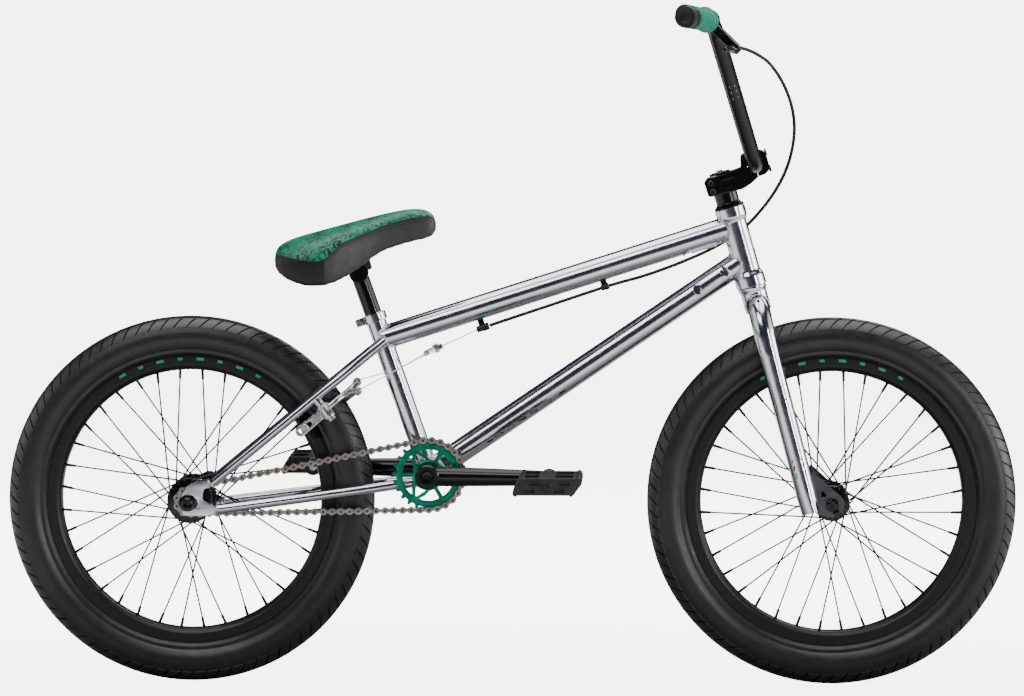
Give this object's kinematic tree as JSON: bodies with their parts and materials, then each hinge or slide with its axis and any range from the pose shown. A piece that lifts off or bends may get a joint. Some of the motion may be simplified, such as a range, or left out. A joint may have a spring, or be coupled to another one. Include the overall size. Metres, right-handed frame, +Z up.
{
  "type": "freestyle BMX bicycle",
  "caption": "Small-wheeled stunt bicycle with wide tyres, high crossbar handlebar, polished frame, chain drive, platform pedals, tilted padded saddle and a rear rim brake.",
  "frame": {"origin": "on the ground, midway between the two wheels and in the centre plane, with the steering straight ahead", "axes": "+X forwards, +Y to the rider's left, +Z up"},
  "size_m": [1.458, 0.7472, 0.98],
  "materials": {
    "polished_steel": "polished bare steel",
    "black_metal": "satin black",
    "green_anodised": "dark green anodised",
    "silver_alloy": "satin silver",
    "chain_steel": "plain steel",
    "bearing_steel": "ground steel",
    "tyre_rubber": "matte black rubber",
    "green_rubber": "soft green rubber",
    "dark_plastic": "moulded dark grey",
    "black_rubber": "black rubber and cable sheath",
    "saddle_vinyl": "padded vinyl in two greens"
  },
  "bodies": {
    "frame": {"head_tube": "polished_steel", "top_tube": "polished_steel", "down_tube": "polished_steel", "seat_tube": "polished_steel", "bottom_bracket_shell": "polished_steel", "chainstay_right": "polished_steel", "chainstay_left": "polished_steel", "seatstay_right": "polished_steel", "seatstay_left": "polished_steel", "dropout_right": "polished_steel", "dropout_left": "polished_steel", "seat_clamp": "polished_steel", "upper_headset_bearing": "bearing_steel", "lower_headset_bearing": "bearing_steel", "bb_bearing_right": "bearing_steel", "bb_bearing_left": "bearing_steel", "cable_stop": "black_metal", "cable_clip": "black_metal", "rear_brake_housing": "black_rubber", "chain": "chain_steel", "rear_axle": "black_metal"},
    "steering": {"fork_steerer": "polished_steel", "fork_leg_right": "polished_steel", "fork_leg_left": "polished_steel", "headset_cap": "black_metal", "stem": "black_metal", "stem_faceplate": "black_metal", "handlebar": "black_metal", "crossbar": "black_metal", "grip_right": "green_rubber", "grip_left": "green_rubber", "lever_perch": "black_metal", "front_axle": "black_metal", "front_brake_housing": "black_rubber"},
    "front_wheel": {"front_tyre": "tyre_rubber", "front_rim": "black_metal", "front_hub": "black_metal"},
    "rear_wheel": {"rear_tyre": "tyre_rubber", "rear_rim": "black_metal", "rear_hub": "black_metal"},
    "driver": {"driver_cog": "bearing_steel"},
    "crankset": {"spindle": "black_metal", "crank_arm_right": "black_metal", "crank_arm_left": "black_metal", "sprocket": "green_anodised", "pedal_axle_right": "bearing_steel", "pedal_axle_left": "bearing_steel"},
    "pedal_body_right": {"pedal_right": "dark_plastic"},
    "pedal_body_left": {"pedal_left": "dark_plastic"},
    "brake_lever": {"lever_blade": "black_metal"},
    "brake_caliper_right": {"brake_arm_right": "silver_alloy", "brake_pad_right": "black_rubber"},
    "brake_caliper_left": {"brake_arm_left": "silver_alloy", "brake_pad_left": "black_rubber"},
    "brake_yoke": {"cable_hanger": "silver_alloy", "straddle_wire": "bearing_steel", "brake_wire": "bearing_steel"},
    "seat_mast": {"seat_post": "black_metal"},
    "saddle": {"saddle_base": "dark_plastic", "saddle_cover": "saddle_vinyl"}
  },
  "joints": [
    {"name": "steering", "type": "hinge", "parent": "frame", "child": "steering", "pos_m": [0.3473, 0, 0.5764], "axis": [-0.2756, 0, 0.9613], "range_deg": [-75, 75], "deforming": ["front_brake_housing"]},
    {"name": "front_wheel_spin", "type": "hinge", "parent": "steering", "child": "front_wheel", "pos_m": [0.463, 0, 0.266], "axis": [0, 1, 0], "continuous": true},
    {"name": "rear_wheel_spin", "type": "hinge", "parent": "frame", "child": "rear_wheel", "pos_m": [-0.463, 0, 0.266], "axis": [0, 1, 0], "continuous": true},
    {"name": "crank_spin", "type": "hinge", "parent": "frame", "child": "crankset", "pos_m": [-0.11752, 0, 0.3056], "axis": [0, 1, 0], "continuous": true, "deforming": ["chain"]},
    {"name": "driver_spin", "type": "hinge", "parent": "frame", "child": "driver", "pos_m": [-0.463, 0, 0.266], "axis": [0, 1, 0], "continuous": true},
    {"name": "pedal_right_spin", "type": "hinge", "parent": "crankset", "child": "pedal_body_right", "pos_m": [0.05748, -0.145, 0.3056], "axis": [0, 1, 0], "continuous": true},
    {"name": "pedal_left_spin", "type": "hinge", "parent": "crankset", "child": "pedal_body_left", "pos_m": [-0.29252, 0.145, 0.3056], "axis": [0, 1, 0], "continuous": true},
    {"name": "brake_lever_pull", "type": "hinge", "parent": "steering", "child": "brake_lever", "pos_m": [0.31907, -0.2242, 0.92157], "axis": [-0.6902, 0.1127, -0.7148], "range_deg": [0, 20], "stiffness_Nm_per_rad": 0.5, "springref_deg": -14.32},
    {"name": "brake_arm_right_turn", "type": "hinge", "parent": "frame", "child": "brake_caliper_right", "pos_m": [-0.26461, -0.043, 0.39714], "axis": [0.6361, 0, -0.7716], "range_deg": [0, 2.6], "stiffness_Nm_per_rad": 0.3, "springref_deg": -5.73},
    {"name": "brake_arm_left_turn", "type": "hinge", "parent": "frame", "child": "brake_caliper_left", "pos_m": [-0.26461, 0.043, 0.39714], "axis": [-0.6361, 0, 0.7716], "range_deg": [0, 2.6], "stiffness_Nm_per_rad": 0.3, "springref_deg": -5.73},
    {"name": "brake_yoke_pull", "type": "slide", "parent": "frame", "child": "brake_yoke", "axis": [0.905, 0, 0.4255], "range_m": [0, 0.0036], "deforming": ["straddle_wire"]},
    {"name": "seat_height", "type": "slide", "parent": "frame", "child": "seat_mast", "axis": [-0.3338, 0, 0.9426], "range_m": [-0.035, 0.05]},
    {"name": "seat_tilt", "type": "hinge", "parent": "seat_mast", "child": "saddle", "pos_m": [-0.21966, 0, 0.59405], "axis": [0, 1, 0], "range_deg": [-8, 8]}
  ],
  "couplings": [
    {"joint": "driver_spin", "follows": "crank_spin", "ratio": 2.7778},
    {"joint": "brake_arm_right_turn", "follows": "brake_lever_pull", "ratio": 0.125},
    {"joint": "brake_arm_left_turn", "follows": "brake_lever_pull", "ratio": 0.125},
    {"joint": "brake_yoke_pull", "follows": "brake_lever_pull", "m_per_rad": 0.0095}
  ]
}
